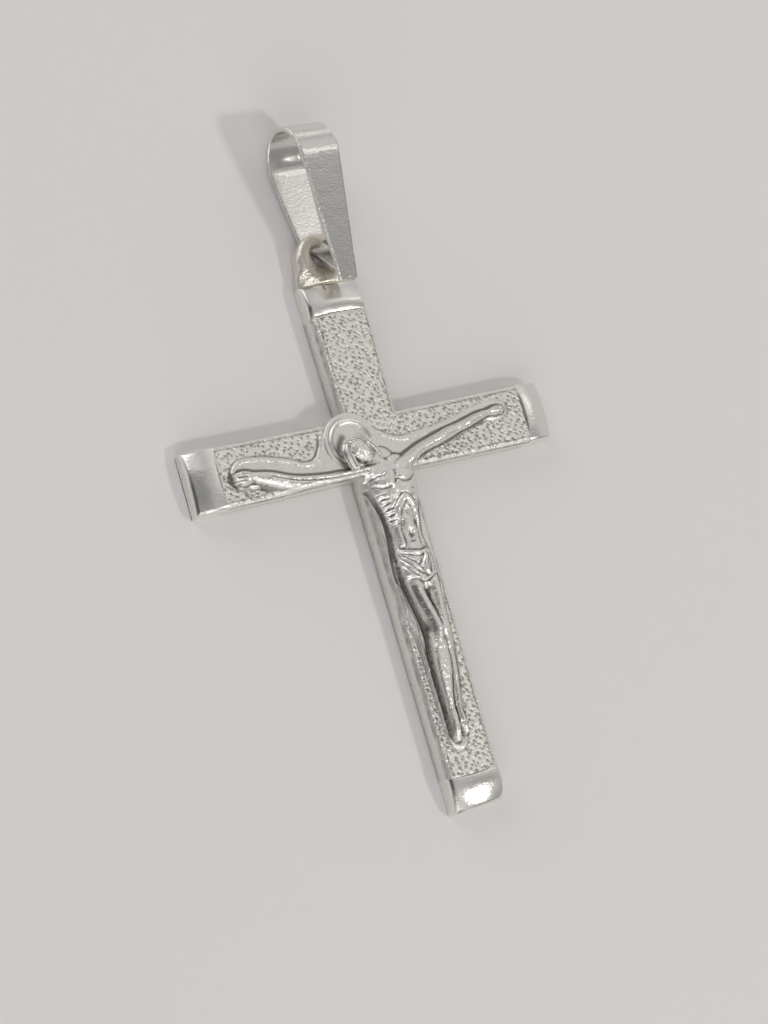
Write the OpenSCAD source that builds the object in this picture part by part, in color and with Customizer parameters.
/* [Cross] */
// Height of the cross from foot to top, without the eye
cross_len = 40; // [32:0.5:60]
// Distance from the middle of the crossing up to the top end
head_len = 12.7; // [10:0.1:16]
// Width over both arms
cross_span = 29.8; // [25:0.2:44]
// Width of shaft and arms where they cross
bar_w = 4.45; // [4:0.05:6]
// Width of each arm at its end
arm_end_w = 4.65; // [4:0.05:6]
// Width of the shaft at its top end
top_end_w = 4.85; // [4.2:0.05:6]
// Width of the shaft at its foot
foot_end_w = 4.2; // [4:0.05:6]
// Thickness of the plate at the pitted field
plate_t = 1.85; // [1.6:0.05:3]

/* [End caps] */
// Length of the smooth cap on each arm
arm_cap_len = 2.3; // [1.5:0.1:3]
// Length of the smooth caps at the top and the foot
shaft_cap_len = 2.6; // [1.5:0.1:3.2]
// Height of a cap above the field at its inner edge
cap_lip = 0.1; // [0.05:0.01:0.3]
// Thickness left at a cap's outer end
cap_tip_t = 1.3; // [0.9:0.05:1.45]

/* [Eye] */
// Outer radius of the eye
eye_r = 2.1; // [2:0.05:2.6]
// Radius of the hole through the eye
eye_hole_r = 1.57; // [1.5:0.01:1.6]
// Thickness of the eye, front to back
eye_t = 0.95; // [0.8:0.05:1.1]
// Distance of the eye's middle above the top end
eye_rise = 1.75; // [1.7:0.05:1.95]
// Length of the soldered tongue that holds the eye on the top end
tongue_len = 0.8; // [0.5:0.05:1.2]
// Thickness of that tongue
tongue_t = 0.7; // [0.5:0.05:0.8]

/* [Figure] */
// Length of the body from shoulders to toes
body_len = 20.7; // [17:0.1:23]
// Breadth of the shoulders
body_w = 4.4; // [3.6:0.1:5]
// Drop from the middle of the crossing to the shoulders
shoulder_drop = 1.7; // [1.2:0.1:2.2]
// Reach of each arm from the shaft's middle to the fingertips
arm_reach = 11.6; // [9:0.1:12]
// Breadth of an upper arm
arm_w = 1.4; // [1:0.05:1.8]
// Length of the head from crown to chin
figure_head_len = 2.7; // [2.2:0.05:3.2]
// Breadth of the head with its hair
figure_head_w = 1.75; // [1.4:0.05:2.2]
// Greatest rise of the figure over the field
relief = 1.1; // [0.6:0.05:1.4]
// Rise of the smooth margin round the figure
margin_rise = 0.25; // [0.1:0.01:0.4]
// Width of the smooth margin round the figure
margin_w = 0.45; // [0.2:0.05:0.6]
// Radius of the halo's rim
halo_r = 1.6; // [1.3:0.05:2]
// Thickness of the halo's rim
halo_rim_t = 0.26; // [0.16:0.02:0.4]

/* [Bail] */
// Length of the bail from its closed tip to its bow
bail_len = 12.3; // [11:0.1:14]
// Height of the bail over its two legs
bail_h = 5.45; // [4.8:0.05:6]
// Thickness of the strap
strap_t = 0.38; // [0.3:0.02:0.42]
// Width of the strap at the bow
strap_bow_w = 3.28; // [2.6:0.02:4]
// Width of the strap at the tip
strap_tip_w = 1.54; // [1:0.02:1.6]
// Height of the tip above the surface that the bail lies on
tip_lift = 3.49; // [3.3:0.02:3.8]
// Lean of the loose bail to the side, in degrees
bail_lean = 5; // [0:0.5:5.5]
// Turn of the loose bail in plan, in degrees
bail_turn = 3; // [0:0.5:3.5]
// Shift of the loose bail to the side in the eye
bail_shift = 0.12; // [0:0.01:0.15]
// Clearance between the strap and the bar of the eye
strap_gap = 0.09; // [0.06:0.01:0.2]
// Distance from the bar of the eye to where the back leg starts to rise
rise_room = 0.52; // [0.4:0.02:0.7]

/* [Hidden] */
$fn = 48;

foot_len = cross_len - head_len;
half_span = cross_span / 2;
half_bar = bar_w / 2;
eye_y = head_len + eye_rise;
eye_bar = eye_r - eye_hole_r;
bar_y = eye_y + eye_hole_r;                     // inner edge of the eye's bar
lie_y = bar_y - rise_room;                      // where the back leg starts to rise
bail_raise = sin(bail_lean) * strap_bow_w / 2;  // lift of the strap's middle by the lean
eye_lift = strap_t + bail_raise + sin(bail_lean) * strap_bow_w * 0.34 + strap_gap;
body_top_y = -shoulder_drop;
sink = 0.5;          // how deep a relief form is rooted in the plate
loft_sides = 12;
overlap = 0.4;       // how far joined forms run into each other
big = 4 * cross_len; // larger than anything in the part

// The stretches of the figure's body, from the shoulders down to the toes.
// Columns: place along body_len, middle and half width as shares of body_w, rise as a share of relief
body_rows = [
    [0.000, -0.06, 0.26, 0.44],
    [0.025, -0.01, 0.41, 0.74],
    [0.055,  0.00, 0.46, 0.88],
    [0.090,  0.00, 0.45, 0.88],
    [0.140,  0.00, 0.40, 0.80],
    [0.220, -0.02, 0.32, 0.66],
    [0.295, -0.03, 0.27, 0.58],
    [0.340, -0.01, 0.30, 0.70],
    [0.385,  0.00, 0.31, 0.76],
    [0.430,  0.00, 0.29, 0.76],
    [0.500,  0.00, 0.25, 0.80],
    [0.575,  0.04, 0.21, 0.94],
    [0.620,  0.05, 0.20, 1.00],
    [0.670,  0.04, 0.17, 0.86],
    [0.750,  0.00, 0.16, 0.74],
    [0.845, -0.05, 0.12, 0.60],
    [0.895, -0.06, 0.13, 0.56],
    [0.950, -0.08, 0.16, 0.64],
    [1.000, -0.09, 0.08, 0.34],
];

// The loincloth, wrapped over the hips. Columns as for the body
cloth_rows = [
    [0.305, -0.03, 0.30, 0.70],
    [0.330, -0.02, 0.34, 0.86],
    [0.370,  0.00, 0.36, 0.90],
    [0.410,  0.02, 0.35, 0.88],
    [0.445,  0.02, 0.30, 0.82],
];

// The end of cloth that is tied at the hip. Columns as for the body
knot_rows = [
    [0.345, 0.08, 0.06, 0.90],
    [0.365, 0.13, 0.10, 1.04],
    [0.395, 0.15, 0.09, 1.00],
    [0.430, 0.14, 0.04, 0.84],
];

// The arm on the left of the front view, from the shoulder to the fingertips.
// Columns: reach as a share of arm_reach, level as a share of bar_w, half width as a share of arm_w,
// rise as a share of relief
left_arm_rows = [
    [0.06, -0.46, 0.40, 0.60],
    [0.16, -0.39, 0.44, 0.70],
    [0.30, -0.37, 0.38, 0.62],
    [0.45, -0.37, 0.38, 0.58],
    [0.61, -0.36, 0.36, 0.54],
    [0.75, -0.25, 0.30, 0.46],
    [0.84, -0.13, 0.24, 0.40],
    [0.93, -0.08, 0.34, 0.42],
    [1.00, -0.02, 0.16, 0.24],
];

// The arm on the right of the front view. Columns as for the left arm
right_arm_rows = [
    [0.06, -0.50, 0.40, 0.60],
    [0.16, -0.38, 0.50, 0.70],
    [0.29, -0.23, 0.45, 0.62],
    [0.40, -0.13, 0.40, 0.58],
    [0.52, -0.06, 0.36, 0.54],
    [0.66,  0.02, 0.30, 0.46],
    [0.77,  0.10, 0.24, 0.40],
    [0.88,  0.13, 0.34, 0.42],
    [0.96,  0.15, 0.16, 0.24],
];

// The head, bowed to the side, from crown to chin.
// Columns: place along figure_head_len, half width as a share of figure_head_w, rise as a share of relief
head_rows = [
    [0.00, 0.20, 0.56],
    [0.08, 0.34, 0.74],
    [0.22, 0.44, 0.90],
    [0.45, 0.46, 0.98],
    [0.68, 0.41, 0.96],
    [0.86, 0.31, 0.90],
    [1.00, 0.18, 0.76],
];

// The hair over the crown, down to the brow. Columns as for the head
hair_rows = [
    [-0.05, 0.20, 0.60],
    [ 0.02, 0.40, 0.84],
    [ 0.12, 0.49, 1.00],
    [ 0.24, 0.52, 1.06],
    [ 0.31, 0.50, 1.00],
];

// The short beard round the chin. Columns as for the head
beard_rows = [
    [0.80, 0.30, 0.92],
    [0.88, 0.34, 1.00],
    [0.98, 0.28, 0.98],
    [1.08, 0.12, 0.80],
];

// The nose. Columns as for the head
nose_rows = [
    [0.42, 0.04, 1.00],
    [0.52, 0.05, 1.08],
    [0.64, 0.09, 1.16],
    [0.70, 0.08, 1.04],
];
eye_place = 0.5;    // eyes halfway down the head
eye_spread = 0.2;   // each eye's distance from the middle, as a share of figure_head_w
mouth_place = 0.78; // a third of the way from the nose to the chin
head_tilt = 42;                                  // lean of the head from the shaft, in degrees
halo_at = [-0.5 * bar_w, 0.15 * bar_w];          // plan place of the halo's middle
crown = halo_at - [0.3 * halo_r, 0];             // plan place of the crown

// Plan points of a table of stretches along the body
function body_path(rows) = [for (r = rows) [r[1] * body_w, body_top_y - r[0] * body_len]];
function body_half(rows) = [for (r = rows) r[2] * body_w];
function body_rise(rows) = [for (r = rows) r[3] * relief];

// Plan points of a table of stretches along an arm, side being -1 or 1
function arm_path(rows, side) = [for (r = rows) [side * r[0] * arm_reach, r[1] * bar_w]];
function arm_half(rows) = [for (r = rows) r[2] * arm_w];
function arm_rise(rows) = [for (r = rows) r[3] * relief];

// Plan points along the head's own axis, and the widths and rises that go with them
function head_path(rows) = [for (r = rows) [0, -r[0] * figure_head_len]];
function head_half(rows) = [for (r = rows) r[1] * figure_head_w];
function head_rise(rows) = [for (r = rows) r[2] * relief];

// Unit direction of a plan path at its point i, and the unit vector across it
function path_dir(path, i) =
    let (a = path[max(i - 1, 0)], b = path[min(i + 1, len(path) - 1)]) (b - a) / norm(b - a);
function across(path, i) = let (d = path_dir(path, i)) [-d[1], d[0]];

// One ring of a form in relief: half an ellipse above the field, and a flat root below it
function ring(c, n, half, rise) = [for (k = [0:loft_sides - 1])
    let (a = 360 * k / loft_sides, s = sin(a))
    [c[0] + n[0] * half * cos(a), c[1] + n[1] * half * cos(a), plate_t + (s > 0 ? rise : sink) * s]];

// A smooth form in relief, lofted through rings along a plan path
module relief_form(path, half, rise) {
    count = len(path);
    points = [for (i = [0:count - 1]) each ring(path[i], across(path, i), half[i], rise[i])];
    sides = [for (i = [0:count - 2], k = [0:loft_sides - 1])
        let (a = i * loft_sides + k, b = i * loft_sides + (k + 1) % loft_sides)
        each [[a, a + loft_sides, b], [b, a + loft_sides, b + loft_sides]]];
    first = [for (k = [0:loft_sides - 1]) k];
    last = [for (k = [loft_sides - 1:-1:0]) (count - 1) * loft_sides + k];
    polyhedron(points, concat(sides, [first, last]), convexity = 6);
}

// One side of the margin's plan, side being 1 or -1, past both ends of the form by margin_w
function margin_side(path, half, side) = let (count = len(path), end = count - 1) concat(
    [path[0] - path_dir(path, 0) * margin_w + across(path, 0) * side * half[0]],
    [for (i = [0:end]) path[i] + across(path, i) * side * (half[i] + margin_w)],
    [path[end] + path_dir(path, end) * margin_w + across(path, end) * side * half[end]]);

// Plan of the smooth margin round a form, as wide as the form and margin_w more on each side
module margin_plan(path, half) {
    right = margin_side(path, half, -1);
    polygon(concat(margin_side(path, half, 1), [for (i = [len(right) - 1:-1:0]) right[i]]));
}

// Outline of one limb of the cross, from the crossing out along +Y
module limb_outline(reach, end_w) {
    polygon([[-half_bar, 0], [half_bar, 0], [half_bar, half_bar], [end_w / 2, reach],
        [-end_w / 2, reach], [-half_bar, half_bar]]);
}

// One limb along +Y, whose cap falls away to the end on a round of large radius
module limb(reach, end_w, cap_len) {
    drop = plate_t + cap_lip - cap_tip_t;
    cap_r = (cap_len * cap_len + drop * drop) / (2 * drop);
    field_end = reach - cap_len;
    intersection() {
        linear_extrude(plate_t) limb_outline(reach, end_w);
        translate([-big / 2, 0, 0]) cube([big, field_end, big]);
    }
    intersection() {
        linear_extrude(plate_t + cap_lip) limb_outline(reach, end_w);
        translate([-big / 2, field_end, 0]) cube([big, cap_len, big]);
        translate([-big / 2, field_end, plate_t + cap_lip - cap_r]) rotate([0, 90, 0])
            cylinder(h = big, r = cap_r, $fn = 96);
    }
}

module plate() {
    limb(head_len, top_end_w, shaft_cap_len);
    rotate(180) limb(foot_len, foot_end_w, shaft_cap_len);
    rotate(90) limb(half_span, arm_end_w, arm_cap_len);
    rotate(-90) limb(half_span, arm_end_w, arm_cap_len);
}

// Plan of the whole cross
module plate_plan() {
    limb_outline(head_len, top_end_w);
    rotate(180) limb_outline(foot_len, foot_end_w);
    rotate(90) limb_outline(half_span, arm_end_w);
    rotate(-90) limb_outline(half_span, arm_end_w);
}

// Points of an arc about c from angle a to angle b
function arc(c, r, a, b, steps) = [for (k = [0:steps])
    let (t = a + (b - a) * k / steps) c + r * [cos(t), sin(t)]];

// The eye, a ring with a rounded bar, and the tongue of solder that holds it on the top end
module eye() {
    bar_r = eye_bar / 2;
    mid_r = eye_hole_r + bar_r;
    translate([0, eye_y, eye_lift]) rotate_extrude() polygon(concat(
        arc([mid_r, bar_r], bar_r, -180, 0, 8), arc([mid_r, eye_t - bar_r], bar_r, 0, 180, 8)));
    translate([0, 0, eye_lift + eye_t - bar_r - tongue_t]) difference() {
        linear_extrude(tongue_t) polygon([
            [-0.45 * eye_r, head_len - tongue_len], [0.45 * eye_r, head_len - tongue_len],
            [0.85 * eye_r, head_len - tongue_len / 2], [0.85 * eye_r, eye_y - mid_r * 0.5],
            [-0.85 * eye_r, eye_y - mid_r * 0.5], [-0.85 * eye_r, head_len - tongue_len / 2]]);
        translate([0, eye_y, -plate_t]) cylinder(h = 3 * plate_t, r = mid_r, $fn = 64);
    }
}

// The head with a plain face, lying along its own axis with the crown at the origin
module head() {
    hollow = 0.1 * figure_head_w;
    difference() {
        relief_form(head_path(head_rows), head_half(head_rows), head_rise(head_rows));
        for (side = [-1, 1])
            translate([side * eye_spread * figure_head_w, -eye_place * figure_head_len,
                plate_t + relief + 0.3 * hollow]) sphere(r = hollow);
        translate([0, -mouth_place * figure_head_len, plate_t + 1.03 * relief]) rotate([0, 90, 0])
            cylinder(h = 0.26 * figure_head_w, r = 0.5 * hollow, center = true);
    }
    relief_form(head_path(nose_rows), head_half(nose_rows), head_rise(nose_rows));
    relief_form(head_path(hair_rows), head_half(hair_rows), head_rise(hair_rows));
    relief_form(head_path(beard_rows), head_half(beard_rows), head_rise(beard_rows));
}

// The figure in low relief, on its smooth margin, with the halo behind the head
module figure() {
    body = body_path(body_rows);
    left_arm = arm_path(left_arm_rows, -1);
    right_arm = arm_path(right_arm_rows, 1);
    translate([0, 0, plate_t - sink]) linear_extrude(sink + margin_rise) intersection() {
        union() {
            margin_plan(body, body_half(body_rows));
            margin_plan(left_arm, arm_half(left_arm_rows));
            margin_plan(right_arm, arm_half(right_arm_rows));
        }
        plate_plan();
    }
    translate(halo_at) cylinder(h = plate_t + margin_rise, r = halo_r + margin_w);
    translate([halo_at[0], halo_at[1], plate_t + margin_rise]) rotate_extrude()
        translate([halo_r - halo_rim_t / 2, 0]) circle(d = halo_rim_t, $fn = 24);
    relief_form(body, body_half(body_rows), body_rise(body_rows));
    relief_form(body_path(cloth_rows), body_half(cloth_rows), body_rise(cloth_rows));
    relief_form(body_path(knot_rows), body_half(knot_rows), body_rise(knot_rows));
    relief_form(left_arm, arm_half(left_arm_rows), arm_rise(left_arm_rows));
    relief_form(right_arm, arm_half(right_arm_rows), arm_rise(right_arm_rows));
    translate(crown) rotate(head_tilt) head();
}

// The whole casting: plate, caps, eye and figure
module cross() {
    color("gainsboro") {
        plate();
        eye();
        figure();
    }
}

// Side view of the bail: the bow at the far end, the straight front leg down to the tip, and the
// back leg, which rises from the surface at lie_y and closes on the front leg at the tip
bow_r = bail_h / 2;
tip_y = lie_y - 3.42;                       // outer end of the closed tip
bow_y = tip_y + bail_len - bow_r;           // middle of the bow
bow_mid = [bow_y, bow_r];
tip_top = [tip_y, tip_lift];
tip_base = [tip_y, tip_lift - strap_t];
tip_span = tip_top - bow_mid;
front_angle = atan2(tip_span[1], tip_span[0]) - acos(bow_r / norm(tip_span));
front_dir = [sin(front_angle), -cos(front_angle)];   // along the front leg
front_in = -[cos(front_angle), sin(front_angle)];    // from its outer face to its inner face
rise_len = norm([lie_y, 0] - tip_base);
rise_dir = (tip_base - [lie_y, 0]) / rise_len;
rise_in = [rise_dir[1], -rise_dir[0]];

// Point where the line from p along u meets the line from q along v
function meet(p, u, q, v) = p + u * (cross(q - p, v) / cross(u, v));

// Side view of the space inside the bail
function bail_inside() = concat(
    [meet(tip_base + strap_t * rise_in, rise_dir, tip_top + strap_t * front_in, front_dir),
     meet(tip_base + strap_t * rise_in, rise_dir, [0, strap_t], [1, 0])],
    arc(bow_mid, bow_r - strap_t, -90, front_angle, 24));

// Side view of the bail's outer faces
function bail_outside() = concat([tip_base, [lie_y, 0]], arc(bow_mid, bow_r, -90, front_angle, 24), [tip_top]);

// Plan of the strap: widest at the bow, narrow at the tip
module strap_plan() {
    polygon([[-strap_tip_w / 2, tip_y - 1], [strap_tip_w / 2, tip_y - 1], [strap_tip_w / 2, tip_y],
        [strap_bow_w / 2, bow_y], [strap_bow_w / 2, bow_y + bow_r + 1],
        [-strap_bow_w / 2, bow_y + bow_r + 1], [-strap_bow_w / 2, bow_y], [-strap_tip_w / 2, tip_y]]);
}

// The loop before it leans
module strap_loop() {
    intersection() {
        translate([-strap_bow_w, 0, 0]) rotate([90, 0, 90]) linear_extrude(2 * strap_bow_w)
            difference() {
                polygon(bail_outside());
                polygon(bail_inside());
            }
        translate([0, 0, -1]) linear_extrude(bail_h + 2) strap_plan();
    }
}

module bail() {
    color("silver") translate([bail_shift, lie_y, bail_raise]) rotate([0, bail_lean, bail_turn])
        translate([0, -lie_y, 0]) strap_loop();
}

cross();
bail();
